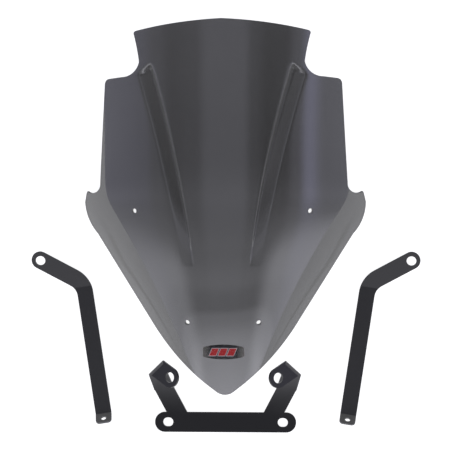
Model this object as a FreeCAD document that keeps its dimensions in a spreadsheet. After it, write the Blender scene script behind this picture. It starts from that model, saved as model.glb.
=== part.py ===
import FreeCAD, Part
import math
import os

import Sketcher
from FreeCAD import Placement, Rotation, Vector

# A motorcycle windshield kit, laid out flat: the tinted screen with its badge, the two side
# straps and the lower bracket.  +X is to the right, +Y runs from the screen's nose to its top
# edge, +Z is up, out of the floor that everything lies on.  The origin is on the floor, under
# the middle of the kit.

SIZES = [
    # The screen: one sheet of 3 mm acrylic, formed over a mould
    ("screen_thickness", 3.0),
    ("under_step", 4.0),
    ("nose_y", -207.0),
    ("peak_y", 254.2),
    ("nose_tip_x", 10.3),
    ("nose_tip_y", -203.5),
    ("nose_flank_x", 23.0),
    ("nose_flank_y", -193.5),
    ("nose_bulge_x", 64.4),
    ("nose_bulge_y", -153.0),
    ("nose_side_x", 93.0),
    ("nose_side_y", -113.0),
    ("lobe_low_x", 159.9),
    ("lobe_low_y", -6.0),
    ("lobe_turn_x", 172.5),
    ("lobe_turn_y", 15.0),
    ("lobe_x", 175.6),
    ("lobe_y", 34.0),
    ("horn_x", 172.0),
    ("horn_y", 48.5),
    ("horn_radius", 1.5),
    ("notch_x", 163.0),
    ("notch_y", 44.8),
    ("notch_top_x", 153.0),
    ("notch_top_y", 56.0),
    ("wing_x", 150.5),
    ("wing_y", 100.0),
    ("shoulder_x", 145.9),
    ("shoulder_y", 183.8),
    ("shoulder_radius", 5.0),
    ("neck_foot_x", 122.7),
    ("neck_foot_y", 185.5),
    ("neck_bend_x", 107.3),
    ("neck_bend_y", 191.4),
    ("neck_x", 101.0),
    ("neck_y", 203.0),
    ("neck_wave_x", 104.1),
    ("neck_wave_y", 221.0),
    ("corner_x", 108.9),
    ("corner_y", 240.2),
    ("corner_radius", 3.5),
    ("brow_x", 60.0),
    ("brow_y", 248.6),
    ("crown_nose", -2.0),
    ("crown_low_y", -110.0),
    ("crown_low", 48.0),
    ("crown_mid_y", 60.0),
    ("crown_mid", 84.0),
    ("crown_top", 81.0),
    ("side_power", 2.8),
    ("side_limit", 184.0),
    ("side_slope", 0.608),
    ("side_start", 62.0),
    ("side_round", 40.0),
    ("side_blend", 14.0),
    ("side_floor", 20.0),
    ("flute_top_x", 85.3),
    ("flute_top_y", 202.6),
    ("flute_mid_x", 54.1),
    ("flute_mid_y", 82.0),
    ("flute_end_x", 33.0),
    ("flute_end_y", -45.0),
    ("flute_depth", 10.5),
    ("flute_growth", 0.75),
    ("flute_wall", 0.2),
    ("flute_crest", 0.12),
    ("flute_width_top", 22.0),
    ("flute_width_end", 15.0),
    ("flute_cap", 7.0),
    ("flute_cap_slant", 0.58),
    ("screen_hole", 6.5),
    ("upper_hole_x", 107.2),
    ("upper_hole_y", 22.1),
    ("lower_hole_x", 43.9),
    ("lower_hole_y", -114.3),
    # The badge: a printed foil under a clear dome, on the nose
    ("badge_length", 51.0),
    ("badge_end", 12.0),
    ("badge_width", 18.6),
    ("badge_y", -151.0),
    ("badge_corner", 1.2),
    ("glue_gap", 0.05),
    ("foil_thickness", 0.3),
    ("dome_height", 1.5),
    ("dome_edge", 0.4),
    ("dome_inset", 0.3),
    # The straps and the bracket: 3 mm steel
    ("plate", 3.0),
    ("strap_width", 20.0),
    ("strap_x", 152.9),
    ("strap_y", -231.9),
    ("strap_lean", 8.7),
    ("strap_leg", 162.0),
    ("strap_rise", 14.0),
    ("strap_rise_radius", 4.0),
    ("strap_head", 75.0),
    ("strap_head_width", 22.0),
    ("strap_elbow", 166.2),
    ("strap_turn", 53.0),
    ("strap_reach", 60.3),
    ("strap_elbow_radius", 17.0),
    ("strap_head_hole", 12.0),
    ("strap_head_corner", 10.8),
    ("tab_length", 17.0),
    ("tab_angle", 50.0),
    ("tab_bend", 2.0),
    ("tab_corner", 5.0),
    ("tab_hole", 6.6),
    ("tab_hole_reach", 9.8),
    ("bar_length", 176.4),
    ("bar_width", 25.0),
    ("bar_y", -241.2),
    ("bar_corner", 12.3),
    ("slot_spacing", 143.2),
    ("slot_width", 11.0),
    ("slot_length", 12.6),
    ("slot_corner", 5.4),
    ("arm_inner", 47.7),
    ("arm_outer", 73.5),
    ("arm_lean", 0.525),
    ("arm_length", 28.8),
    ("arm_rise", 8.0),
    ("tip_rise", 31.0),
    ("tip_outer_x", 94.6),
    ("tip_outer_y", -179.8),
    ("tip_inner_x", 76.8),
    ("tip_inner_y", -162.7),
    ("ear_slope", 0.62),
    ("ear_reach", 23.4),
    ("ear_skew", 9.2),
    ("ear_radius", 12.3),
    ("ear_corner", 12.1),
    ("ear_hole", 13.0),
    ("fold_radius", 3.2),
]

doc = FreeCAD.newDocument("WindshieldKit")
sheet = doc.addObject("Spreadsheet::Sheet", "Sizes")
for row, (alias, number) in enumerate(SIZES, start=1):
    sheet.set("A%d" % row, alias.replace("_", " "))
    sheet.set("B%d" % row, str(number))
    sheet.setAlias("B%d" % row, alias)
doc.recompute()


def size(alias):
    """The number that the sheet holds for an alias."""
    return float(sheet.get(alias))


def value(expression):
    """The number that an expression of the sheet's aliases comes to."""
    result = sheet.evalExpression(expression)
    return float(getattr(result, "Value", result))


# ---------------------------------------------------------------- sketch helpers

def new_sketch(body, plane, offset=None):
    """A sketch of a body's own, on one of its origin planes, moved by an offset."""
    sketch = body.newObject("Sketcher::SketchObject", "Sketch")
    planes = [item for item in body.Origin.OriginFeatures if item.Role == plane]
    sketch.AttachmentSupport = (planes[0], "")
    sketch.MapMode = "FlatFace"
    if offset:
        sketch.AttachmentOffset = offset
    return sketch


def bind(sketch, constraint, expression):
    """Add a constraint whose value is an expression of the sheet."""
    index = sketch.addConstraint(constraint)
    sketch.setExpression("Constraints[%d]" % index, expression)


def place(sketch, item, at, horizontal, vertical):
    """Hold one point of a sketch at two expressions of the sheet."""
    bind(sketch, Sketcher.Constraint("DistanceX", -1, 1, item, at, value(horizontal)), horizontal)
    bind(sketch, Sketcher.Constraint("DistanceY", -1, 1, item, at, value(vertical)), vertical)


def outline(sketch, corners):
    """A closed outline through corners (x, y, radius), each an expression of the sheet."""
    points = [Vector(value(x), value(y), 0) for x, y, _ in corners]
    radii = [value(radius) for _, _, radius in corners]
    count = len(corners)
    arrive, leave, middle = [], [], []
    for index, point in enumerate(points):
        back = (points[index - 1] - point).normalize()
        ahead = (points[(index + 1) % count] - point).normalize()
        half_angle = back.getAngle(ahead) / 2
        reach = radii[index] / math.tan(half_angle)
        inward = (back + ahead).normalize()
        arrive.append(point + back * reach)
        leave.append(point + ahead * reach)
        middle.append(point + inward * (radii[index] / math.sin(half_angle) - radii[index]))
    lines = []
    for index in range(count):
        segment = Part.LineSegment(leave[index], arrive[(index + 1) % count])
        lines.append(sketch.addGeometry(segment))
    for index, (x, y, radius) in enumerate(corners):
        before, after = lines[index - 1], lines[index]
        if radii[index] == 0:
            sketch.addConstraint(Sketcher.Constraint("Coincident", before, 2, after, 1))
            place(sketch, after, 1, x, y)
            continue
        arc = sketch.addGeometry(Part.Arc(arrive[index], middle[index], leave[index]))
        first = 1 if sketch.getPoint(arc, 1).isEqual(arrive[index], 1e-6) else 2
        sketch.addConstraint(Sketcher.Constraint("Tangent", before, 2, arc, first))
        sketch.addConstraint(Sketcher.Constraint("Tangent", arc, 3 - first, after, 1))
        bind(sketch, Sketcher.Constraint("Radius", arc, radii[index]), radius)
        corner = sketch.addGeometry(Part.Point(points[index]), True)
        place(sketch, corner, 1, x, y)
        sketch.addConstraint(Sketcher.Constraint("PointOnObject", corner, 1, before))
        sketch.addConstraint(Sketcher.Constraint("PointOnObject", corner, 1, after))


def circle(sketch, x, y, diameter):
    """A circle whose centre and diameter are expressions of the sheet."""
    centre = Vector(value(x), value(y), 0)
    item = sketch.addGeometry(Part.Circle(centre, Vector(0, 0, 1), value(diameter) / 2))
    place(sketch, item, 3, x, y)
    bind(sketch, Sketcher.Constraint("Diameter", item, value(diameter)), diameter)


def pad(body, sketch, length, both_sides=False, reverse=False):
    feature = body.newObject("PartDesign::Pad", "Pad")
    feature.Profile = sketch
    feature.setExpression("Length", length)
    feature.Midplane = both_sides
    feature.Reversed = reverse
    doc.recompute()
    return feature


def pocket(body, sketch):
    """Cut a sketch right through the body, both ways."""
    feature = body.newObject("PartDesign::Pocket", "Pocket")
    feature.Profile = sketch
    feature.Type = "ThroughAll"
    feature.Midplane = True
    doc.recompute()
    return feature


def short_pocket(body, sketch, depth):
    """Cut a sketch as deep as an expression says, half of it each way."""
    feature = body.newObject("PartDesign::Pocket", "Pocket")
    feature.Profile = sketch
    feature.setExpression("Length", depth)
    feature.Midplane = True
    doc.recompute()
    return feature


def fillet(body, edges, radius):
    rounded = body.Tip
    feature = body.newObject("PartDesign::Fillet", "Fillet")
    feature.Base = (rounded, edges)
    feature.setExpression("Radius", radius)
    doc.recompute()
    return feature


def edges_along(shape, start, end, slack=0.05):
    """Names of a shape's edges that lie on the line between two points."""
    line = Part.LineSegment(start, end).toShape()
    names = []
    for number, edge in enumerate(shape.Edges, start=1):
        ends = [vertex.Point for vertex in edge.Vertexes]
        on_line = all(line.distToShape(Part.Vertex(point))[0] < slack for point in ends)
        if on_line and len(ends) == 2 and edge.Length > 1:
            names.append("Edge%d" % number)
    return names


# ---------------------------------------------------------------- the straps

def strap(label, side):
    """A side strap: an upturned tab, a flat leg, and a head that turns outward and rises.

    In the strap's own frame the leg runs along +Y from the tab's bend, side is -1 on the left.
    """
    body = doc.addObject("PartDesign::Body", label)
    body.Label = label
    profile = new_sketch(body, "YZ_Plane")
    outline(profile, [
        ("0", "0", "Sizes.tab_bend + Sizes.plate"),
        ("Sizes.strap_leg", "0", "Sizes.strap_rise_radius + Sizes.plate"),
        ("Sizes.strap_leg + Sizes.strap_head * cos(Sizes.strap_rise * 1deg)",
         "Sizes.strap_head * sin(Sizes.strap_rise * 1deg)", "0"),
        ("Sizes.strap_leg + Sizes.strap_head * cos(Sizes.strap_rise * 1deg)"
         " - Sizes.plate * sin(Sizes.strap_rise * 1deg)",
         "Sizes.strap_head * sin(Sizes.strap_rise * 1deg)"
         " + Sizes.plate * cos(Sizes.strap_rise * 1deg)", "0"),
        ("Sizes.strap_leg - Sizes.plate * tan(Sizes.strap_rise * 0.5deg)",
         "Sizes.plate", "Sizes.strap_rise_radius"),
        ("Sizes.plate * tan(Sizes.tab_angle * 0.5deg)", "Sizes.plate", "Sizes.tab_bend"),
        ("Sizes.plate * sin(Sizes.tab_angle * 1deg)"
         " - Sizes.tab_length * cos(Sizes.tab_angle * 1deg)",
         "Sizes.tab_length * sin(Sizes.tab_angle * 1deg)"
         " + Sizes.plate * cos(Sizes.tab_angle * 1deg)", "0"),
        ("-Sizes.tab_length * cos(Sizes.tab_angle * 1deg)",
         "Sizes.tab_length * sin(Sizes.tab_angle * 1deg)", "0"),
    ])
    pad(body, profile, "4 * Sizes.strap_head", both_sides=True)

    across = "%d * " % side
    along_x = "sin(Sizes.strap_turn * 1deg)"
    along_y = "cos(Sizes.strap_turn * 1deg)"
    half = "Sizes.strap_width / 2"
    head_half = "Sizes.strap_head_width / 2"
    end = "(Sizes.strap_reach + %s)" % head_half
    slant = "(%s - %s * %s) / %s" % (head_half, half, along_y, along_x)
    blank = new_sketch(body, "XY_Plane")
    room = "3 * Sizes.strap_head"
    outline(blank, [
        ("-" + room, "-" + room, "0"),
        (room, "-" + room, "0"),
        (room, "2 * " + room, "0"),
        ("-" + room, "2 * " + room, "0"),
    ])
    outline(blank, [
        (across + "-1 * " + half, "-Sizes.strap_head", "0"),
        (across + "-1 * " + half, "Sizes.strap_elbow + " + slant,
         "Sizes.strap_elbow_radius + Sizes.strap_width"),
        (across + "(%s * %s - %s * %s)" % (end, along_x, head_half, along_y),
         "Sizes.strap_elbow + %s * %s + %s * %s" % (end, along_y, head_half, along_x),
         "Sizes.strap_head_corner"),
        (across + "(%s * %s + %s * %s)" % (end, along_x, head_half, along_y),
         "Sizes.strap_elbow + %s * %s - %s * %s" % (end, along_y, head_half, along_x),
         "Sizes.strap_head_corner"),
        (across + half, "Sizes.strap_elbow - " + slant, "Sizes.strap_elbow_radius"),
        (across + half, "-Sizes.strap_head", "0"),
    ])
    pocket(body, blank)

    rise = size("strap_rise")
    leg = size("strap_leg")
    head_plane = Placement(Vector(0, leg, 0), Rotation(Vector(1, 0, 0), rise))
    head_hole = new_sketch(body, "XY_Plane", head_plane)
    circle(head_hole, across + "Sizes.strap_reach * " + along_x,
           "(Sizes.strap_elbow - Sizes.strap_leg + Sizes.strap_reach * %s)"
           " / cos(Sizes.strap_rise * 1deg)" % along_y, "Sizes.strap_head_hole")
    short_pocket(body, head_hole, "4 * Sizes.plate")

    tab_plane = Placement(Vector(0, 0, 0), Rotation(Vector(1, 0, 0), -size("tab_angle")))
    tab_hole = new_sketch(body, "XY_Plane", tab_plane)
    circle(tab_hole, "0", "-Sizes.tab_hole_reach", "Sizes.tab_hole")
    short_pocket(body, tab_hole, "4 * Sizes.plate")

    tilt = math.radians(size("tab_angle"))
    length = size("tab_length")
    corner = Vector(0, -length * math.cos(tilt), length * math.sin(tilt))
    depth = Vector(0, math.sin(tilt), math.cos(tilt)) * size("plate")
    names = []
    for shift in (-size("strap_width") / 2, size("strap_width") / 2):
        start = corner + Vector(shift, 0, 0)
        names += edges_along(body.Shape, start, start + depth)
    fillet(body, names, "Sizes.tab_corner")

    body.setExpression("Placement.Base.x", across + "Sizes.strap_x")
    body.setExpression("Placement.Base.y", "Sizes.strap_y")
    body.Placement.Rotation = Rotation(Vector(0, 0, 1), -side * size("strap_lean"))
    return body


# ---------------------------------------------------------------- the lower bracket

def lower_bracket():
    """A flat bar whose two arms rise and end in ears that are folded back over them."""
    body = doc.addObject("PartDesign::Body", "lower_bracket")
    body.Label = "lower_bracket"
    bar = new_sketch(body, "XY_Plane")
    half_length, half_width = "Sizes.bar_length / 2", "Sizes.bar_width / 2"
    outline(bar, [
        ("-" + half_length, "Sizes.bar_y - " + half_width, "Sizes.bar_corner"),
        (half_length, "Sizes.bar_y - " + half_width, "Sizes.bar_corner"),
        (half_length, "Sizes.bar_y + " + half_width, "Sizes.bar_corner"),
        ("-" + half_length, "Sizes.bar_y + " + half_width, "Sizes.bar_corner"),
    ])
    pad(body, bar, "Sizes.plate")

    bend_y = value("bar_y + bar_width / 2")
    rise, tip_rise = math.radians(size("arm_rise")), math.radians(size("tip_rise"))
    arm_plane = Placement(Vector(0, bend_y, 0), Rotation(Vector(1, 0, 0), size("arm_rise")))
    arm = new_sketch(body, "XY_Plane", arm_plane)
    reach = "Sizes.arm_length / cos(Sizes.arm_rise * 1deg)"
    outline(arm, [
        ("Sizes.arm_inner", "0", "0"),
        ("Sizes.arm_outer", "0", "0"),
        ("Sizes.arm_outer + Sizes.arm_length * Sizes.arm_lean", reach, "0"),
        ("Sizes.arm_inner + Sizes.arm_length * Sizes.arm_lean", reach, "0"),
    ])
    arm_pad = pad(body, arm, "Sizes.plate")

    jog = Vector(0, bend_y + size("arm_length"), size("arm_length") * math.tan(rise))
    tip_plane = Placement(jog, Rotation(Vector(1, 0, 0), size("tip_rise")))
    tip = new_sketch(body, "XY_Plane", tip_plane)
    up_slope = "(Sizes.tip_%s_y - Sizes.bar_y - Sizes.bar_width / 2 - Sizes.arm_length)" \
               " / cos(Sizes.tip_rise * 1deg)"
    outline(tip, [
        ("Sizes.arm_inner + Sizes.arm_length * Sizes.arm_lean", "0", "0"),
        ("Sizes.arm_outer + Sizes.arm_length * Sizes.arm_lean", "0", "0"),
        ("Sizes.tip_outer_x", up_slope % "outer", "0"),
        ("Sizes.tip_inner_x", up_slope % "inner", "0"),
    ])
    tip_pad = pad(body, tip, "Sizes.plate")

    def on_tip(x, y):
        return Vector(x, y, jog.z + (y - jog.y) * math.tan(tip_rise))

    outer = on_tip(size("tip_outer_x"), size("tip_outer_y"))
    inner = on_tip(size("tip_inner_x"), size("tip_inner_y"))
    fold = (inner - outer).normalize()
    # The ear climbs inward by ear_slope, and its plane holds the fold line
    climb_y = ((inner.z - outer.z) - size("ear_slope") * (outer.x - inner.x)) / (inner.y - outer.y)
    normal = Vector(size("ear_slope"), -climb_y, 1).normalize()
    ear_plane = Placement(outer, Rotation(fold, normal.cross(fold), normal))
    ear = new_sketch(body, "XY_Plane", ear_plane)
    length = ("sqrt((Sizes.tip_outer_x - Sizes.tip_inner_x) ^ 2"
              " + ((Sizes.tip_inner_y - Sizes.tip_outer_y) / cos(Sizes.tip_rise * 1deg)) ^ 2)")
    middle = "(%s / 2 + Sizes.ear_skew)" % length
    # The ear's axis is skewed, so its square end is turned by the same angle
    unit = "Sizes.ear_radius / sqrt(Sizes.ear_skew ^ 2 + Sizes.ear_reach ^ 2)"
    wide, narrow = ["(Sizes.ear_reach %s Sizes.ear_skew) * %s" % (sign, unit) for sign in "+-"]
    outline(ear, [
        ("0", "0", "0"),
        (length, "0", "0"),
        ("%s + %s" % (middle, wide), "Sizes.ear_reach + %s" % narrow, "Sizes.ear_corner"),
        ("%s - %s" % (middle, narrow), "Sizes.ear_reach + %s" % wide, "Sizes.ear_corner"),
    ])
    ear_pad = pad(body, ear, "Sizes.plate", reverse=True)
    hole = new_sketch(body, "XY_Plane", ear_plane)
    circle(hole, middle, "Sizes.ear_reach", "Sizes.ear_hole")
    ear_pocket = short_pocket(body, hole, "3 * Sizes.plate")

    mirror = body.newObject("PartDesign::Mirrored", "Mirrored")
    planes = [item for item in body.Origin.OriginFeatures if item.Role == "YZ_Plane"]
    mirror.MirrorPlane = (planes[0], [""])
    mirror.Originals = [arm_pad, tip_pad, ear_pad, ear_pocket]
    body.Tip = mirror
    doc.recompute()

    slots = new_sketch(body, "XY_Plane")
    low, high = ["Sizes.bar_y %s Sizes.slot_width / 2" % sign for sign in "-+"]
    for side in (-1, 1):
        left, right = ["%d * Sizes.slot_spacing / 2 %s Sizes.slot_length / 2" % (side, sign)
                       for sign in "-+"]
        outline(slots, [
            (left, low, "Sizes.slot_corner"),
            (right, low, "Sizes.slot_corner"),
            (right, high, "Sizes.slot_corner"),
            (left, high, "Sizes.slot_corner"),
        ])
    short_pocket(body, slots, "4 * Sizes.plate")

    names = []
    for side in (-1, 1):
        ends = [Vector(side * point.x, point.y, point.z) for point in (outer, inner)]
        names += edges_along(body.Shape, ends[0], ends[1])
    fillet(body, names, "Sizes.fold_radius")
    return body


# ---------------------------------------------------------------- the screen's surface

def parabola(position, stations):
    """The value at a position of the curve through three (position, value) stations."""
    (a, at_a), (b, at_b), (c, at_c) = stations
    return (at_a * (position - b) * (position - c) / ((a - b) * (a - c))
            + at_b * (position - a) * (position - c) / ((b - a) * (b - c))
            + at_c * (position - a) * (position - b) / ((c - a) * (c - b)))


def crown(y):
    """Height of the screen's centre line: a cubic through four stations."""
    stations = [(size("nose_y"), size("crown_nose")), (size("crown_low_y"), size("crown_low")),
                (size("crown_mid_y"), size("crown_mid")), (size("peak_y"), size("crown_top"))]
    total = 0
    for index, (place_y, height) in enumerate(stations):
        term = height
        for other, (other_y, _) in enumerate(stations):
            if other != index:
                term *= (y - other_y) / (place_y - other_y)
        total += term
    return total


def side(y):
    """Half width at which the screen comes down to the floor."""
    run = y - size("nose_y") + size("side_start")
    flank = size("side_slope") / 2 * (run + math.hypot(run, size("side_round")))
    limit, blend = size("side_limit"), size("side_blend")
    return (flank + limit - math.hypot(flank - limit, blend)) / 2


def flute_edge(y):
    """Distance of a flute's crisp inner edge from the centre line."""
    return parabola(y, [(size("flute_end_y"), size("flute_end_x")),
                        (size("flute_mid_y"), size("flute_mid_x")),
                        (size("flute_top_y"), size("flute_top_x"))])


def flute_share(y):
    """How far along a flute a point lies: 0 at its lower end, 1 at its cap."""
    run = (y - size("flute_end_y")) / (size("flute_top_y") - size("flute_end_y"))
    return min(max(run, 0), 1)


def flute_width(y):
    narrow, wide = size("flute_width_end"), size("flute_width_top")
    return narrow + (wide - narrow) * flute_share(y)


def ease(share):
    """A smooth step from 0 to 1."""
    share = min(max(share, 0), 1)
    return share * share * (3 - 2 * share)


def flute(x, y):
    """Depth of the two flutes below the plain surface."""
    past = abs(x) - flute_edge(y)
    across = past / flute_width(y)
    left = (1 - across) / (1 - size("flute_wall"))
    hollow = ease(across / size("flute_wall")) * (left + math.hypot(left, size("flute_crest"))) / 2
    cap_y = size("flute_top_y") - size("flute_cap_slant") * past
    deepest = size("flute_depth") * flute_share(y) ** size("flute_growth")
    return deepest * hollow * ease((cap_y - y) / size("flute_cap"))


def height(x, y):
    """Height of the screen's outer face."""
    fall = math.hypot(crown(y), size("side_floor")) * (abs(x) / side(y)) ** size("side_power")
    return crown(y) - fall - flute(x, y)


def normal(x, y, step=0.25):
    """Upward normal of the screen's outer face, from its slope over a step each way."""
    slope_x = (height(x + step, y) - height(x - step, y)) / (2 * step)
    slope_y = (height(x, y + step) - height(x, y - step)) / (2 * step)
    return Vector(-slope_x, -slope_y, 1).normalize()


def on_face(x, y, lift=0):
    """A point at a height above the screen's outer face, or below it where lift is negative.

    The inner face follows the outer face's broad slope, so that it doesn't fold at tight bends.
    """
    way = normal(x, y) if lift >= 0 else normal(x, y, size("under_step"))
    return Vector(x, y, height(x, y)) + way * lift


def skin(rows, lift):
    """A smooth surface through rows of plan points, each lifted by a function of its place."""
    grid = [[on_face(x, y, lift(x, y)) for x, y in row] for row in rows]
    surface = Part.BSplineSurface()
    surface.interpolate(grid)
    return surface.toShape()


def layer(rows, low, high):
    """A solid between two lifts over the same plan points."""
    under, over = skin(rows, low), skin(rows, high)
    faces = [under, over]
    for low_edge, high_edge in zip(under.Edges, over.Edges):
        faces.append(Part.makeRuledSurface(low_edge, high_edge))
    shell = Part.makeShell([face for shape in faces for face in shape.Faces])
    shell.sewShape()
    solid = Part.makeSolid(Part.Shell(shell.Faces))
    if solid.Volume < 0:
        solid.reverse()
    return solid


def spread(start, end, count):
    """Evenly spaced values from start up to, but without, end."""
    return [start + (end - start) * index / count for index in range(count)]


def screen_rows():
    """Plan points of the whole sheet; their lines follow the flutes."""
    rows = []
    margin = 9
    for y in spread(size("nose_y") - 8, size("peak_y") + 6, 96) + [size("peak_y") + 6]:
        inner, width = flute_edge(y), flute_width(y)
        foot, outer = inner + 1.3 * size("flute_wall") * width, inner + 1.2 * width
        rim = max(side(y), outer + 5) + margin
        half = (spread(0, inner, 6) + spread(inner, foot, 8) + spread(foot, outer, 8)
                + spread(outer, rim, 8) + [rim])
        rows.append([(x, y) for x in [-x for x in half[:0:-1]] + half])
    return rows


def arc(*points):
    start, middle, end = [Vector(x, y, 0) for x, y in points]
    return Part.Arc(start, middle, end).toShape()


def line(start, end):
    return Part.makeLine(Vector(*start, 0), Vector(*end, 0))


def at(name):
    """The plan point that the sheet holds under a name."""
    return size(name + "_x"), size(name + "_y")


def upright_edges(shape, x, y):
    """A prism's edges that stand at a plan point and at its mirror image."""
    found = []
    near = 0.01
    for edge in shape.Edges:
        box = edge.BoundBox
        if box.ZLength > 1 and abs(abs(box.XMin) - x) < near and abs(box.YMin - y) < near:
            found.append(edge)
    return found


def screen_blank():
    """A prism with the screen's outline."""
    edges = [
        line(at("nose_tip"), at("nose_flank")),
        arc(at("nose_flank"), at("nose_bulge"), at("nose_side")),
        line(at("nose_side"), at("lobe_low")),
        arc(at("lobe_low"), at("lobe_turn"), at("lobe")),
        line(at("lobe"), at("horn")),
        arc(at("horn"), at("notch"), at("notch_top")),
        arc(at("notch_top"), at("wing"), at("shoulder")),
        line(at("shoulder"), at("neck_foot")),
        arc(at("neck_foot"), at("neck_bend"), at("neck")),
        arc(at("neck"), at("neck_wave"), at("corner")),
        arc(at("corner"), at("brow"), (0, size("peak_y"))),
    ]
    mirrored = [edge.mirror(Vector(0, 0, 0), Vector(1, 0, 0)) for edge in edges]
    tip_x, tip_y = at("nose_tip")
    nose = arc((-tip_x, tip_y), (0, size("nose_y")), (tip_x, tip_y))
    wire = Part.Wire(Part.__sortEdges__(edges + mirrored + [nose]))
    below, tall = 150, 400
    prism = Part.Face(wire).extrude(Vector(0, 0, tall))
    prism.translate(Vector(0, 0, -below))
    for name in ("shoulder", "corner", "horn"):
        prism = prism.makeFillet(size(name + "_radius"), upright_edges(prism, *at(name)))
    return prism


def screen_shape():
    sheet_solid = layer(screen_rows(), lambda x, y: -size("screen_thickness"), lambda x, y: 0)
    solid = sheet_solid.common(screen_blank())
    drill_reach = 15
    for name in ("upper_hole", "lower_hole"):
        for sign in (-1, 1):
            x, y = sign * size(name + "_x"), size(name + "_y")
            drill = Part.makeCylinder(size("screen_hole") / 2, 2 * drill_reach,
                                      on_face(x, y, -drill_reach), normal(x, y))
            solid = solid.cut(drill)
    return solid.Solids[0]


# ---------------------------------------------------------------- the badge

def badge_rows():
    """Plan points that cover the badge."""
    margin = 3
    half_x, half_y = size("badge_length") / 2 + margin, size("badge_width") / 2 + margin
    ys = [size("badge_y") + share * half_y for share in spread(-1, 1, 12) + [1]]
    return [[(share * half_x, y) for share in spread(-1, 1, 24) + [1]] for y in ys]


def badge_blank(inset):
    """A barrel-shaped prism: straight short ends, bowed long sides."""
    end_x = size("badge_length") / 2 - inset
    end_y, bow_y = size("badge_end") / 2 - inset, size("badge_width") / 2 - inset
    low, high = size("badge_y") - end_y, size("badge_y") + end_y
    wire = Part.Wire([
        arc((-end_x, low), (0, size("badge_y") - bow_y), (end_x, low)),
        line((end_x, low), (end_x, high)),
        arc((end_x, high), (0, size("badge_y") + bow_y), (-end_x, high)),
        line((-end_x, high), (-end_x, low)),
    ])
    tall = 200
    prism = Part.Face(wire).extrude(Vector(0, 0, tall))
    upright = [edge for edge in prism.Edges if edge.BoundBox.ZLength > 1]
    return prism.makeFillet(size("badge_corner"), upright)


def dome_lift(x, y):
    """The clear dome's height over the screen: low at its edge, crowned in its middle."""
    reach_x, reach_y = size("badge_length") / 2, size("badge_width") / 2
    away = min((x / reach_x) ** 4 + ((y - size("badge_y")) / reach_y) ** 4, 1)
    edge, crest = size("dome_edge"), size("dome_height")
    return size("foil_thickness") + edge + (crest - edge) * (1 - away)


def foil_shape():
    """The printed foil, which lies on a film of glue."""
    glue, foil = size("glue_gap"), size("foil_thickness")
    return layer(badge_rows(), lambda x, y: glue, lambda x, y: foil).common(badge_blank(0))


def dome_shape():
    foil = size("foil_thickness")
    return layer(badge_rows(), lambda x, y: foil, dome_lift).common(badge_blank(size("dome_inset")))


# ---------------------------------------------------------------- the document's sub-parts

def made_shape(label, shape, lift):
    """A sub-part whose free-form shape is made by Part's own functions."""
    item = doc.addObject("Part::Feature", label)
    item.Label = label
    item.Shape = shape
    item.Placement = Placement(Vector(0, 0, lift), Rotation())
    return item


screen = screen_shape()
# The screen lies on its nose and its two lobes
lift = -min(point.z for point in screen.tessellate(0.05)[0])
subparts = [
    made_shape("screen", screen, lift),
    made_shape("badge_foil", foil_shape(), lift),
    made_shape("badge_dome", dome_shape(), lift),
    strap("left_strap", -1),
    strap("right_strap", 1),
    lower_bracket(),
]
doc.recompute()

for item in doc.Objects:
    if "Invalid" in item.State or "Error" in item.State:
        raise RuntimeError("%s could not be computed: %s" % (item.Name, item.getStatusString()))
for item in subparts:
    if item.Shape.isNull() or not item.Shape.isValid():
        raise RuntimeError("%s has no valid shape" % item.Label)

os.makedirs("parts", exist_ok=True)
for item in subparts:
    item.Shape.exportStep("parts/%s.step" % item.Label)
    box = item.Shape.optimalBoundingBox()
    print("%-14s %9.0f mm3, %d solid, X %.1f..%.1f Y %.1f..%.1f Z %.1f..%.1f" % (
        item.Label, item.Shape.Volume, len(item.Shape.Solids),
        box.XMin, box.XMax, box.YMin, box.YMax, box.ZMin, box.ZMax))
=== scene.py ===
"""A motorcycle windshield kit, laid out flat: smoked screen with its badge, two straps, a bracket."""

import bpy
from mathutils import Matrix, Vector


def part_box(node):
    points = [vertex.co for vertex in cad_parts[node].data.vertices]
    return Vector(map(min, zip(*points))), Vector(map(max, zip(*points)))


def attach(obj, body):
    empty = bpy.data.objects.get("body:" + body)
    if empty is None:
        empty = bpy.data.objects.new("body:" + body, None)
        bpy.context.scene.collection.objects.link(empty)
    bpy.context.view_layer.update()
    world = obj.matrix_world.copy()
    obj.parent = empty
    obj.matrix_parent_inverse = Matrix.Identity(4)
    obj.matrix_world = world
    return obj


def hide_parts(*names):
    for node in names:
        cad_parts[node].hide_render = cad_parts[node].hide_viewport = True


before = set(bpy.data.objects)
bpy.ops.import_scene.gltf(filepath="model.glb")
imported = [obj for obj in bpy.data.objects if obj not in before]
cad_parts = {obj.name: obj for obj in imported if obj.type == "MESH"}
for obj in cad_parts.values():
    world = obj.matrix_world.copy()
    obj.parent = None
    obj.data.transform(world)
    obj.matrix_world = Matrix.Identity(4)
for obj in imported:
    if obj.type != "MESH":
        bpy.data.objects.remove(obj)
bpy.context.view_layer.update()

import math

import bpy
import numpy as np
from mathutils import Vector
from mathutils.geometry import delaunay_2d_cdt

MM = 0.001

# ------------------------------------------------------------ the screen's form, in millimetres

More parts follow.
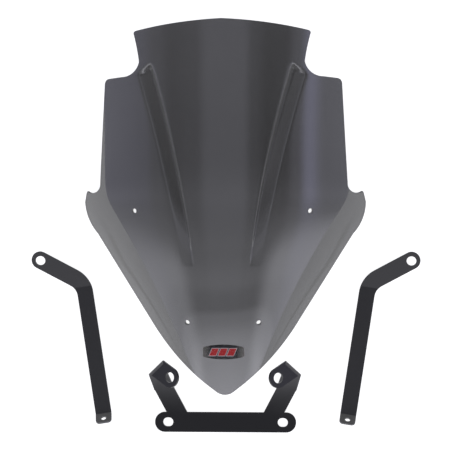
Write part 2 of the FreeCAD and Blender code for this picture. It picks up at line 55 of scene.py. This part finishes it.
SCREEN_THICKNESS, UNDER_STEP = 3.0, 4.0
NOSE_Y, PEAK_Y = -207.0, 254.2
CROWN = ((NOSE_Y, -2.0), (-110.0, 48.0), (60.0, 84.0), (PEAK_Y, 81.0))
SIDE_POWER, SIDE_LIMIT, SIDE_SLOPE = 2.8, 184.0, 0.608
SIDE_START, SIDE_ROUND, SIDE_BLEND, SIDE_FLOOR = 62.0, 40.0, 14.0, 20.0
FLUTE_EDGE = ((-45.0, 33.0), (82.0, 54.1), (202.6, 85.3))
FLUTE_DEPTH, FLUTE_GROWTH = 10.5, 0.75
FLUTE_WIDTHS = (15.0, 22.0)
FLUTE_WALL, FLUTE_CREST = 0.2, 0.12
FLUTE_CAP, FLUTE_CAP_SLANT = 7.0, 0.58
HOLE_RADIUS = 3.25
HOLES = ((107.2, 22.1), (43.9, -114.3))
BADGE_LENGTH, BADGE_WIDTH, BADGE_END, BADGE_Y = 51.0, 18.6, 12.0, -151.0
FOIL_THICKNESS, DOME_EDGE, DOME_HEIGHT = 0.3, 0.4, 1.5
GLUE_GAP, BADGE_CORNER = 0.05, 1.2
FOIL_INSET, DOME_INSET, BADGE_MARGIN = 0.12, 0.5, 0.5
BAR_MIDDLES, BAR_SIZE, BAR_SLANT = (-11.6, -0.8, 10.0), (4.2, 4.6), 0.45
KEYLINE_MARGIN, INK_FILM, INK_CLEARANCE = 0.6, 0.03, 0.02
GRID_STEP, BADGE_GRID_STEP = 2.4, 0.8


def curve_through(position, stations):
    """The polynomial through (position, value) stations, at a position or an array of them."""
    total = 0
    for index, (here, value) in enumerate(stations):
        term = value
        for other, (there, _) in enumerate(stations):
            if other != index:
                term = term * (position - there) / (here - there)
        total = total + term
    return total


def ease(share):
    """A smooth step from 0 to 1."""
    share = np.clip(share, 0, 1)
    return share * share * (3 - 2 * share)


def side(y):
    """Half width at which the screen comes down to the floor."""
    run = y - NOSE_Y + SIDE_START
    flank = SIDE_SLOPE / 2 * (run + np.hypot(run, SIDE_ROUND))
    return (flank + SIDE_LIMIT - np.hypot(flank - SIDE_LIMIT, SIDE_BLEND)) / 2


def flute_share(y):
    """How far along a flute: 0 at its lower end, 1 at its cap."""
    return np.clip((y - FLUTE_EDGE[0][0]) / (FLUTE_EDGE[-1][0] - FLUTE_EDGE[0][0]), 0, 1)


def flute_width(y):
    """Width of a flute, which grows towards its cap."""
    narrow, wide = FLUTE_WIDTHS
    return narrow + (wide - narrow) * flute_share(y)


def flute(x, y):
    """Depth of the two flutes below the plain surface."""
    past = np.abs(x) - curve_through(y, FLUTE_EDGE)
    across = past / flute_width(y)
    left = (1 - across) / (1 - FLUTE_WALL)
    hollow = ease(across / FLUTE_WALL) * (left + np.hypot(left, FLUTE_CREST)) / 2
    cap_y = FLUTE_EDGE[-1][0] - FLUTE_CAP_SLANT * past
    return FLUTE_DEPTH * flute_share(y) ** FLUTE_GROWTH * hollow * ease((cap_y - y) / FLUTE_CAP)


def height(x, y):
    """Height of the screen's outer face."""
    crown = curve_through(y, CROWN)
    fall = np.hypot(crown, SIDE_FLOOR) * (np.abs(x) / side(y)) ** SIDE_POWER
    return crown - fall - flute(x, y)


def face_normal(x, y, step=0.05):
    """Unit normals of the screen's outer face."""
    slope_x = (height(x + step, y) - height(x - step, y)) / (2 * step)
    slope_y = (height(x, y + step) - height(x, y - step)) / (2 * step)
    normal = np.stack([-slope_x, -slope_y, np.ones_like(slope_x)], axis=-1)
    return normal / np.linalg.norm(normal, axis=-1, keepdims=True)


def on_face(plan, lift=0.0, step=0.05):
    """Points at a lift above the screen's outer face, over plan points (N, 2)."""
    x, y = plan[:, 0], plan[:, 1]
    base = np.stack([x, y, height(x, y)], axis=-1)
    return base + face_normal(x, y, step) * np.reshape(lift, (-1, 1))


# ------------------------------------------------------------ outlines, in millimetres

def arc(start, middle, end, count):
    """Points from start up to, but without, end on the circle through three points."""
    (ax, ay), (bx, by), (cx, cy) = start, middle, end
    det = 2 * (ax * (by - cy) + bx * (cy - ay) + cx * (ay - by))
    a2, b2, c2 = ax * ax + ay * ay, bx * bx + by * by, cx * cx + cy * cy
    ox = (a2 * (by - cy) + b2 * (cy - ay) + c2 * (ay - by)) / det
    oy = (a2 * (cx - bx) + b2 * (ax - cx) + c2 * (bx - ax)) / det
    radius = math.hypot(ax - ox, ay - oy)
    first, last = math.atan2(ay - oy, ax - ox), math.atan2(cy - oy, cx - ox)
    turn = (last - first) % (2 * math.pi)
    if (math.atan2(by - oy, bx - ox) - first) % (2 * math.pi) > turn:
        turn -= 2 * math.pi
    angles = [first + turn * index / count for index in range(count)]
    return [(ox + radius * math.cos(a), oy + radius * math.sin(a)) for a in angles]


def straight(start, end, count):
    """Points from start up to, but without, end on a line."""
    return [tuple(s + (e - s) * index / count for s, e in zip(start, end)) for index in range(count)]


def round_corner(points, corner, radius, count=7):
    """Replace an outline's points near a corner by a smooth bend."""
    near = [i for i, p in enumerate(points) if math.dist(p, corner) < radius]
    first, last = points[near[0] - 1], points[(near[-1] + 1) % len(points)]
    bend = []
    for index in range(1, count):
        s = index / count
        bend.append(tuple((1 - s) ** 2 * f + 2 * s * (1 - s) * c + s * s * e
                          for f, c, e in zip(first, corner, last)))
    return points[:near[0]] + bend + points[near[-1] + 1:]


def half_outline():
    """The right half of the screen's outline, from its nose to its peak."""
    nose_tip, nose_flank, nose_side = (10.3, -203.5), (23.0, -193.5), (93.0, -113.0)
    lobe_low, lobe, horn = (159.9, -6.0), (175.6, 34.0), (172.0, 48.5)
    notch_top, shoulder, neck_foot = (153.0, 56.0), (145.9, 183.8), (122.7, 185.5)
    neck, corner = (101.0, 203.0), (108.9, 240.2)
    points = arc((0.0, NOSE_Y), (5.4, -206.1), nose_tip, 6)
    points += straight(nose_tip, nose_flank, 8)
    points += arc(nose_flank, (64.4, -153.0), nose_side, 46)
    points += straight(nose_side, lobe_low, 52)
    points += arc(lobe_low, (172.5, 15.0), lobe, 24)
    points += straight(lobe, horn, 10)
    points += arc(horn, (163.0, 44.8), notch_top, 22)
    points += arc(notch_top, (150.5, 100.0), shoulder, 56)
    points += straight(shoulder, neck_foot, 16)
    points += arc(neck_foot, (107.3, 191.4), neck, 22)
    points += arc(neck, (104.1, 221.0), corner, 20)
    points += arc(corner, (60.0, 248.6), (0.0, PEAK_Y), 48)
    for bend, radius in ((horn, 3.0), (shoulder, 5.0), (corner, 3.5)):
        points = round_corner(points, bend, radius)
    return points


def inset(loop, amount):
    """A closed loop of plan points moved inward (to the left of its run), and its outward ways."""
    loop = np.array(loop)
    run = np.roll(loop, -1, axis=0) - np.roll(loop, 1, axis=0)
    run /= np.linalg.norm(run, axis=1, keepdims=True)
    outward = np.stack([run[:, 1], -run[:, 0]], axis=-1)
    return loop - outward * amount, outward


def inside(points, segments):
    """True for plan points that closed loops of segments go round (even-odd rule)."""
    (x1, y1), (x2, y2) = segments[:, 0].T[:, None, :], segments[:, 1].T[:, None, :]
    x, y = points[:, 0:1], points[:, 1:2]
    spans = (y1 > y) != (y2 > y)
    with np.errstate(divide="ignore", invalid="ignore"):
        crossing = x < (x2 - x1) * (y - y1) / (y2 - y1) + x1
    return (spans & crossing).sum(axis=1) % 2 == 1


def segments_of(loops):
    """The segments of closed loops, as (N, 2, 2) end points."""
    return np.concatenate([np.stack([loop, np.roll(loop, -1, axis=0)], axis=1) for loop in loops])


# ------------------------------------------------------------ meshes of formed sheet

def fill_plan(grid, loops, margin):
    """Quads of a plan grid well inside the loops, and triangles that join them to the loops.

    The first loop is the outer one, and the rest are holes.  Returns plan points, faces and the
    place of each loop's first point.
    """
    rows, columns = grid.shape[:2]
    flat = grid.reshape(-1, 2)
    shrunk = [inset(loop, margin)[0] for loop in loops]
    kept_point = inside(flat, segments_of(shrunk))
    quads = []
    for row in range(rows - 1):
        for column in range(columns - 1):
            a = row * columns + column
            quad = (a, a + 1, a + columns + 1, a + columns)
            if all(kept_point[corner] for corner in quad):
                quads.append(quad)
    edge_count = {}
    for quad in quads:
        for start, end in zip(quad, quad[1:] + quad[:1]):
            key = (min(start, end), max(start, end))
            edge_count[key] = edge_count.get(key, 0) + 1
    stair = [edge for edge, count in edge_count.items() if count == 1]
    used = sorted({corner for quad in quads for corner in quad})
    renumber = {old: new for new, old in enumerate(used)}
    points = [tuple(flat[index]) for index in used]
    faces = [tuple(renumber[corner] for corner in quad) for quad in quads]

    stair = [(renumber[a], renumber[b]) for a, b in stair]
    stair_points = sorted({index for edge in stair for index in edge})
    rim_starts = []
    sent, sent_index, edges = [], [], []
    place = {}
    for index in stair_points:
        place[index] = len(sent)
        sent.append(points[index])
        sent_index.append(index)
    edges += [(place[a], place[b]) for a, b in stair]
    for loop in loops:
        first = len(sent)
        rim_starts.append(len(points))
        for step, point in enumerate(loop):
            edges.append((first + step, first + (step + 1) % len(loop)))
            sent_index.append(len(points))
            sent.append(tuple(point))
            points.append(tuple(point))
    made = delaunay_2d_cdt([Vector(p) for p in sent], edges, [], 0, 1e-5)
    corners, triangles, origin = made[0], made[2], made[3]
    centres = np.array([np.mean([corners[v][:] for v in tri], axis=0) for tri in triangles])
    stair_segments = np.array([[points[a], points[b]] for a, b in stair])
    wanted = inside(centres, segments_of(loops)) & ~inside(centres, stair_segments)
    for tri, keep in zip(triangles, wanted):
        if keep:
            faces.append(tuple(sent_index[origin[v][0]] for v in tri))
    return np.array(points), faces, rim_starts


def formed_sheet(name, grid, loops, top, bottom, round_radius, margin, under_step=0.05):
    """A closed mesh of a sheet that lies over the screen's face, with a rounded rim.

    top and bottom give lifts over the face for plan points; loops lie where the rounding starts;
    margin keeps the grid's quads away from the loops; under_step smooths the underside's normals.
    """
    plan, faces, starts = fill_plan(grid, loops, margin)
    count = len(plan)
    step = 0.1

    def surface(lift, normal_step):
        def point(shift_x, shift_y):
            moved = plan + np.array([shift_x, shift_y])
            return on_face(moved, lift(moved), normal_step)
        along_x = point(step, 0) - point(-step, 0)
        along_y = point(0, step) - point(0, -step)
        normal = np.cross(along_x, along_y)
        normal /= np.linalg.norm(normal, axis=1, keepdims=True)
        return point(0, 0), normal, along_x / (2 * step), along_y / (2 * step)

    over, over_normal, slide_x, slide_y = surface(top, 0.05)
    under, under_normal, _, _ = surface(bottom, under_step)
    vertices = [over, under]
    normals = [over_normal, -under_normal]
    all_faces = list(faces) + [tuple(count + v for v in reversed(face)) for face in faces]
    total = 2 * count
    bends = [math.radians(angle) for angle in (30, 60, 90)]
    for loop, start in zip(loops, starts):
        size = len(loop)
        ids = np.arange(start, start + size)
        _, outward = inset(loop, 0)
        out = slide_x[ids] * outward[:, 0:1] + slide_y[ids] * outward[:, 1:2]
        out /= np.linalg.norm(out, axis=1, keepdims=True)
        rings = [ids]
        for end, base, up in ((0, over[ids], over_normal[ids]), (1, under[ids], -under_normal[ids])):
            for bend in bends if end == 0 else reversed(bends):
                vertices.append(base + out * round_radius * math.sin(bend)
                                - up * round_radius * (1 - math.cos(bend)))
                normals.append(out * math.sin(bend) + up * math.cos(bend))
                rings.append(np.arange(total, total + size))
                total += size
        rings.append(ids + count)
        for ring, below in zip(rings, rings[1:]):
            for index in range(size):
                after = (index + 1) % size
                all_faces.append((ring[index], below[index], below[after], ring[after]))
    return new_mesh(name, np.concatenate(vertices), all_faces, np.concatenate(normals))


def new_mesh(name, points, faces, normals=None):
    """A smooth mesh object from points in millimetres over the screen's own base."""
    mesh = bpy.data.meshes.new(name)
    shifted = (np.array(points) + np.array([0, 0, LIFT])) * MM
    mesh.from_pydata([tuple(p) for p in shifted], [], [tuple(int(v) for v in face) for face in faces])
    mesh.polygons.foreach_set("use_smooth", [True] * len(mesh.polygons))
    if normals is not None:
        mesh.normals_split_custom_set_from_vertices([tuple(n) for n in normals])
    item = bpy.data.objects.new(name, mesh)
    bpy.context.scene.collection.objects.link(item)
    return item


def screen_grid():
    """Plan points in lines that follow the flutes, finest where the flutes turn."""
    wall_reach, flute_reach = 1.2 * FLUTE_WALL, 1.35
    rim_least, rim_spare, rim_count = 5, 4, 26
    rows = []
    for y in np.arange(NOSE_Y, PEAK_Y + GRID_STEP, GRID_STEP):
        inner = curve_through(y, FLUTE_EDGE)
        wall = inner + wall_reach * flute_width(y)
        outer = inner + flute_reach * flute_width(y)
        rim = max(side(y), outer + rim_least) + rim_spare
        bands = ((0, inner, 15), (inner, wall, 15), (wall, outer, 20))
        half = np.concatenate([np.linspace(*band)[:-1] for band in bands]
                              + [np.linspace(outer, rim, rim_count)])
        x = np.concatenate([-half[:0:-1], half])
        rows.append(np.stack([x, np.full_like(x, y)], axis=-1))
    return np.array(rows)


def hole_loop(x, y, radius, count=32):
    """A clockwise ring in plan round a hole drilled along the screen's own normal."""
    normal = Vector(face_normal(np.array([x]), np.array([y]))[0])
    first = normal.orthogonal().normalized()
    second = normal.cross(first)
    ring = []
    for index in range(count):
        angle = -2 * math.pi * index / count
        point = first * math.cos(angle) + second * math.sin(angle)
        ring.append((x + radius * point.x, y + radius * point.y))
    return np.array(ring)


def make_screen():
    """The smoked sheet with its four holes."""
    right = half_outline()
    left = [(-x, y) for x, y in reversed(right[1:])]
    edge_radius, hole_edge, margin = 0.9, 0.35, 0.9
    outer, _ = inset(right + [(0.0, PEAK_Y)] + left, edge_radius)
    loops = [outer]
    for x, y in HOLES:
        loops += [hole_loop(sign * x, y, HOLE_RADIUS + hole_edge) for sign in (-1, 1)]
    return formed_sheet("screen_shell", screen_grid(), loops, level(0.0), level(-SCREEN_THICKNESS),
                        edge_radius, margin, UNDER_STEP)


def barrel(inset_by):
    """The badge's outline: short straight ends and bowed long sides."""
    end_x = BADGE_LENGTH / 2 - inset_by
    end_y, bow_y = BADGE_END / 2 - inset_by, BADGE_WIDTH / 2 - inset_by
    low, high = BADGE_Y - end_y, BADGE_Y + end_y
    points = arc((-end_x, low), (0, BADGE_Y - bow_y), (end_x, low), 44)
    points += straight((end_x, low), (end_x, high), 10)
    points += arc((end_x, high), (0, BADGE_Y + bow_y), (-end_x, high), 44)
    points += straight((-end_x, high), (-end_x, low), 10)
    for bend_x, bend_y in ((end_x, low), (end_x, high), (-end_x, high)):
        points = round_corner(points, (bend_x, bend_y), BADGE_CORNER)
    return np.array(points)


def badge_grid():
    """Plan points that cover the badge."""
    xs = np.arange(-BADGE_LENGTH / 2, BADGE_LENGTH / 2 + BADGE_GRID_STEP, BADGE_GRID_STEP)
    ys = np.arange(-BADGE_WIDTH / 2, BADGE_WIDTH / 2 + BADGE_GRID_STEP, BADGE_GRID_STEP) + BADGE_Y
    return np.array([[(x, y) for x in xs] for y in ys])


def dome_lift(plan):
    """The clear dome's height over the screen: low at its edge, crowned in its middle."""
    x, y = plan[:, 0] / (BADGE_LENGTH / 2), (plan[:, 1] - BADGE_Y) / (BADGE_WIDTH / 2)
    away = np.minimum(x ** 4 + y ** 4, 1)
    return FOIL_THICKNESS + DOME_EDGE + (DOME_HEIGHT - DOME_EDGE) * (1 - away)


def level(lift):
    """The same lift over the screen at every plan point."""
    return lambda plan: np.full(len(plan), lift)


def make_bar(name, middle, margin, low):
    """One slanted bar of the badge's print: a thin film whose underside has the given lift.

    The bar's size is a half width and a half height; the margin is added to both.
    """
    width, tall = (size + margin for size in BAR_SIZE)
    lean = BAR_SLANT * tall
    corners = [(-width - lean, -tall), (width - lean, -tall), (width + lean, tall), (-width + lean, tall)]
    corners = [(middle + x, BADGE_Y + y) for x, y in corners]
    loop = []
    for start, end in zip(corners, corners[1:] + corners[:1]):
        loop += straight(start, end, 8)
    xs = np.linspace(middle - width - tall, middle + width + tall, 9)
    ys = np.linspace(-tall, tall, 9) + BADGE_Y
    grid = np.array([[(x, y) for x in xs] for y in ys])
    return formed_sheet(name, grid, [np.array(loop)], level(low + INK_FILM), level(low),
                        round_radius=0.01, margin=0.4)


# ------------------------------------------------------------ materials

def material(name, colour, roughness, **inputs):
    """A Principled material; returns it with its nodes, links and shader."""
    made = bpy.data.materials.new(name)
    made.use_nodes = True
    nodes, links = made.node_tree.nodes, made.node_tree.links
    shader = nodes["Principled BSDF"]
    shader.inputs["Base Color"].default_value = (*colour, 1)
    shader.inputs["Roughness"].default_value = roughness
    for key, value in inputs.items():
        shader.inputs[key.replace("_", " ")].default_value = value
    return made, nodes, links, shader


def noise(nodes, links, scale, detail=2.0):
    """Noise in the object's own space; returns its value socket."""
    place = nodes.new("ShaderNodeTexCoord")
    texture = nodes.new("ShaderNodeTexNoise")
    texture.inputs["Scale"].default_value = scale
    texture.inputs["Detail"].default_value = detail
    links.new(place.outputs["Object"], texture.inputs["Vector"])
    return texture.outputs["Fac"]


def remap(nodes, links, value, low, high, start=0.0, end=1.0):
    """A value between start and end, turned into one between low and high."""
    node = nodes.new("ShaderNodeMapRange")
    node.inputs["From Min"].default_value = start
    node.inputs["From Max"].default_value = end
    node.inputs["To Min"].default_value = low
    node.inputs["To Max"].default_value = high
    links.new(value, node.inputs["Value"])
    return node.outputs["Result"]


def mix(nodes, links, share, first, second):
    """A blend of two colours by a share socket."""
    node = nodes.new("ShaderNodeMix")
    node.data_type = "RGBA"
    node.inputs["A"].default_value = (*first, 1)
    node.inputs["B"].default_value = (*second, 1)
    links.new(share, node.inputs["Factor"])
    return node.outputs["Result"]


def smoked_acrylic():
    """Smoked sheet: each of its two faces holds back part of the light, and less of it at a slant."""
    made, nodes, links, shader = material("smoked_acrylic", (0.002, 0.002, 0.005), 0.05,
                                          IOR=1.6, Specular_IOR_Level=1.0)
    links.new(remap(nodes, links, noise(nodes, links, 35, 4), 0.035, 0.06, 0.3, 0.7),
              shader.inputs["Roughness"])
    glance = nodes.new("ShaderNodeLayerWeight")
    glance.inputs["Blend"].default_value = 0.5
    slant = remap(nodes, links, glance.outputs["Facing"], 0.0, -0.05, 0.2, 0.6)
    tint = remap(nodes, links, noise(nodes, links, 12, 2), 0.797, 0.807, 0.3, 0.7)
    total = nodes.new("ShaderNodeMath")
    links.new(slant, total.inputs[0])
    links.new(tint, total.inputs[1])
    links.new(total.outputs[0], shader.inputs["Alpha"])
    return made


def powder_coat(name, dark, light, sheen):
    """Fine-textured black powder coat."""
    made, nodes, links, shader = material(name, dark, 0.4, Specular_IOR_Level=sheen)
    grain = noise(nodes, links, 1800, 3)
    links.new(remap(nodes, links, grain, 0.34, 0.46, 0.3, 0.7), shader.inputs["Roughness"])
    links.new(mix(nodes, links, noise(nodes, links, 60, 3), dark, light), shader.inputs["Base Color"])
    bump = nodes.new("ShaderNodeBump")
    bump.inputs["Strength"].default_value = 0.12
    bump.inputs["Distance"].default_value = 0.0001
    links.new(grain, bump.inputs["Height"])
    links.new(bump.outputs["Normal"], shader.inputs["Normal"])
    return made


def foil_print():
    """Black print that fades to brushed silver towards the foil's ends."""
    made, nodes, links, shader = material("foil_print", (0.02, 0.02, 0.02), 0.35, Specular_IOR_Level=0.2)
    place = nodes.new("ShaderNodeTexCoord")
    split = nodes.new("ShaderNodeSeparateXYZ")
    links.new(place.outputs["Object"], split.inputs["Vector"])
    reach = nodes.new("ShaderNodeMath")
    reach.operation = "ABSOLUTE"
    links.new(split.outputs["X"], reach.inputs[0])
    outward = remap(nodes, links, reach.outputs[0], 0.0, 1.0, 0.015, 0.027)
    links.new(mix(nodes, links, outward, (0.010, 0.010, 0.012), (0.22, 0.21, 0.19)),
              shader.inputs["Base Color"])
    links.new(remap(nodes, links, noise(nodes, links, 400, 3), 0.28, 0.42, 0.3, 0.7),
              shader.inputs["Roughness"])
    return made


def ink(name, dark, light):
    """Printed ink, slightly uneven."""
    made, nodes, links, shader = material(name, light, 0.4, Specular_IOR_Level=0.2)
    links.new(mix(nodes, links, noise(nodes, links, 500, 3), dark, light), shader.inputs["Base Color"])
    return made


def clear_resin():
    """Clear resin: see-through straight on, and glossier at a slant."""
    made, nodes, links, shader = material("clear_resin", (0.01, 0.01, 0.012), 0.04, IOR=1.5)
    links.new(remap(nodes, links, noise(nodes, links, 200, 2), 0.03, 0.06, 0.3, 0.7),
              shader.inputs["Roughness"])
    glance = nodes.new("ShaderNodeLayerWeight")
    glance.inputs["Blend"].default_value = 0.3
    links.new(remap(nodes, links, glance.outputs["Fresnel"], 0.08, 0.5), shader.inputs["Alpha"])
    return made


def dress(item, finish, body=None, node=None):
    """Gives a piece its material and slot, and a new piece its body and the node it replaces."""
    item.data.materials.clear()
    item.data.materials.append(finish)
    if body:
        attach(item, body)
    if node:
        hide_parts(node)


def soften_edges(item):
    """Rounds a plate's sharp edges a little, as its coating does."""
    weld = item.modifiers.new("weld", "WELD")
    weld.merge_threshold = 0.00001
    flat = item.modifiers.new("flat", "DECIMATE")
    flat.decimate_type = "DISSOLVE"
    flat.angle_limit = math.radians(0.5)
    bevel = item.modifiers.new("bevel", "BEVEL")
    bevel.width = 0.0004
    bevel.segments = 2
    bevel.limit_method = "ANGLE"
    bevel.angle_limit = math.radians(40)
    normals = item.modifiers.new("normals", "WEIGHTED_NORMAL")
    normals.keep_sharp = False


# How much higher the screen stands in the frame than in the form's own heights
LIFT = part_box("screen")[1].z / MM - curve_through(np.linspace(NOSE_Y, PEAK_Y, 4000), CROWN).max()

dress(make_screen(), smoked_acrylic(), "screen_body", "screen")

foil = formed_sheet("badge_print_foil", badge_grid(), [barrel(FOIL_INSET)], level(FOIL_THICKNESS),
                    level(GLUE_GAP), round_radius=0.1, margin=BADGE_MARGIN)
dress(foil, foil_print(), "screen_body", "badge_foil")
pale = ink("pale_ink", (0.66, 0.66, 0.67), (0.78, 0.78, 0.8))
red = ink("red_ink", (0.55, 0.012, 0.014), (0.68, 0.018, 0.02))
for number, middle in enumerate(BAR_MIDDLES):
    keyline = make_bar("badge_keyline_%d" % number, middle, KEYLINE_MARGIN, FOIL_THICKNESS)
    dress(keyline, pale, "screen_body")
    bar = make_bar("badge_bar_%d" % number, middle, 0, FOIL_THICKNESS + INK_FILM)
    dress(bar, red, "screen_body")
# The resin's underside stays just clear of the two films of ink
dome = formed_sheet("badge_clear_dome", badge_grid(), [barrel(DOME_INSET)], dome_lift,
                    level(FOIL_THICKNESS + 2 * INK_FILM + INK_CLEARANCE),
                    round_radius=0.15, margin=BADGE_MARGIN)
dress(dome, clear_resin(), "screen_body", "badge_dome")

# The straps and the bracket wear the same black powder coat; the bracket's darker base colour is painted
# shade, standing in for the dimmer light on it.
strap_coat = powder_coat("strap_coat", (0.009, 0.009, 0.009), (0.013, 0.013, 0.013), 0.85)
bracket_coat_painted_shade = powder_coat("bracket_coat_painted_shade", (0.002, 0.002, 0.0025), (0.003, 0.003, 0.0035), 0.6)
coats = {"left_strap": strap_coat, "right_strap": strap_coat, "lower_bracket": bracket_coat_painted_shade}
for name, coat in coats.items():
    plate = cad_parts[name]
    dress(plate, coat)
    soften_edges(plate)
    plate.visible_glossy = False

# ------------------------------------------------------------ the studio

# A pale floor that glows a little, so that it stays white; it lies just under the plates
reach, floor_height = 6.0, -0.0004
floor_data = bpy.data.meshes.new("floor")
floor_data.from_pydata([(-reach, -reach, floor_height), (reach, -reach, floor_height),
                        (reach, reach, floor_height), (-reach, reach, floor_height)], [], [(0, 1, 2, 3)])
floor = bpy.data.objects.new("floor", floor_data)
bpy.context.scene.collection.objects.link(floor)
paper, paper_nodes, paper_links, paper_shader = material("floor_paper", (0.6, 0.6, 0.6), 0.9,
                                                         Specular_IOR_Level=0.0)
paper_fleck = noise(paper_nodes, paper_links, 30, 3)
paper_colour = mix(paper_nodes, paper_links, paper_fleck, (0.59, 0.59, 0.59), (0.61, 0.61, 0.61))
paper_links.new(paper_colour, paper_shader.inputs["Base Color"])
paper_shader.inputs["Emission Color"].default_value = (1, 1, 1, 1)
paper_shader.inputs["Emission Strength"].default_value = 0.9
floor_data.materials.append(paper)


def combine(nodes, links, blend, first, second):
    """Two colour sockets added or multiplied."""
    node = nodes.new("ShaderNodeMix")
    node.data_type, node.blend_type = "RGBA", blend
    node.inputs["Factor"].default_value = 1.0
    links.new(first, node.inputs["A"])
    links.new(second, node.inputs["B"])
    return node.outputs["Result"]


def ramp(nodes, links, value, stops):
    """A colour ramp over a value from -1 to 1; each stop is (value, colour)."""
    node = nodes.new("ShaderNodeValToRGB")
    node.color_ramp.interpolation = "EASE"
    elements = node.color_ramp.elements
    while len(elements) < len(stops):
        elements.new(0.5)
    for element, (place, colour) in zip(elements, stops):
        element.position = (place + 1) / 2
        element.color = (*colour, 1)
    links.new(remap(nodes, links, value, 0.0, 1.0, -1.0, 1.0), node.inputs["Fac"])
    return node.outputs["Color"]


def grey(value, blue=1.08):
    """A slightly blue grey; blue is how much stronger its blue is."""
    return value, value, value * blue


# The surroundings' light by direction, from -1 to 1 across (X) and along (Y).  Across: a strip
# overhead, dark on both sides of it, and brighter side walls, all of which fade towards the nose.
# Along: a bright wall beyond the nose.  Corners: more light low at both sides of that wall.
world = bpy.data.worlds.new("studio")
bpy.context.scene.world = world
world.use_nodes = True
nodes, links = world.node_tree.nodes, world.node_tree.links
place = nodes.new("ShaderNodeTexCoord")
split = nodes.new("ShaderNodeSeparateXYZ")
links.new(place.outputs["Generated"], split.inputs["Vector"])
across = ramp(nodes, links, split.outputs["X"], (
    (-0.93, grey(0.24, 1.2)), (-0.78, grey(0.20, 1.2)), (-0.62, grey(0.13, 1.1)), (-0.41, grey(0.06)),
    (-0.18, grey(0.09)), (-0.09, grey(0.20)), (0.02, grey(0.20)), (0.12, grey(0.07)),
    (0.28, grey(0.01)), (0.48, grey(0.02)), (0.65, grey(0.15, 1.1)), (0.80, grey(0.44, 1.3)),
    (0.93, grey(0.26, 1.1))))
along = ramp(nodes, links, split.outputs["Y"], (
    (-0.97, grey(1.0)), (-0.82, grey(0.80)), (-0.70, grey(0.44)), (-0.66, grey(0.25)),
    (-0.61, grey(0.26)), (-0.56, grey(0.32)), (-0.42, grey(0.22)),
    (-0.22, grey(0.08)), (-0.05, grey(0.0)), (0.3, grey(0.03)), (0.9, grey(0.2))))
fade = ramp(nodes, links, split.outputs["Y"], (
    (-0.70, grey(0.15)), (-0.45, grey(0.35)), (-0.15, grey(1.0)), (0.2, grey(1.0)), (0.6, grey(0.6))))
sides = ramp(nodes, links, split.outputs["X"], (
    (-0.62, grey(0.32)), (-0.30, grey(0.0)), (0.30, grey(0.0)), (0.62, grey(0.40))))
low = ramp(nodes, links, split.outputs["Y"], (
    (-0.80, grey(1.0, 1.0)), (-0.52, grey(1.0, 1.0)), (-0.36, grey(0.0))))
corners = combine(nodes, links, "MULTIPLY", sides, low)
overhead = combine(nodes, links, "MULTIPLY", across, fade)
walls = combine(nodes, links, "ADD", along, corners)
links.new(combine(nodes, links, "ADD", overhead, walls), nodes["Background"].inputs["Color"])
nodes["Background"].inputs["Strength"].default_value = 2.05

camera_data = bpy.data.cameras.new("camera")
camera = bpy.data.objects.new("camera", camera_data)
bpy.context.scene.collection.objects.link(camera)
bpy.context.scene.camera = camera
aim = Vector((-0.0007, 0.005, 0.0))
distance, tilt, field = 2.45, math.radians(3.4), 0.5625
camera_data.sensor_width = 36.0
camera_data.lens = camera_data.sensor_width * distance / field
camera.location = aim + Vector((math.sin(tilt), 0, math.cos(tilt))) * distance
camera.rotation_euler = (0, tilt, 0)
bpy.context.scene.view_settings.view_transform = "Standard"

bpy.context.view_layer.update()
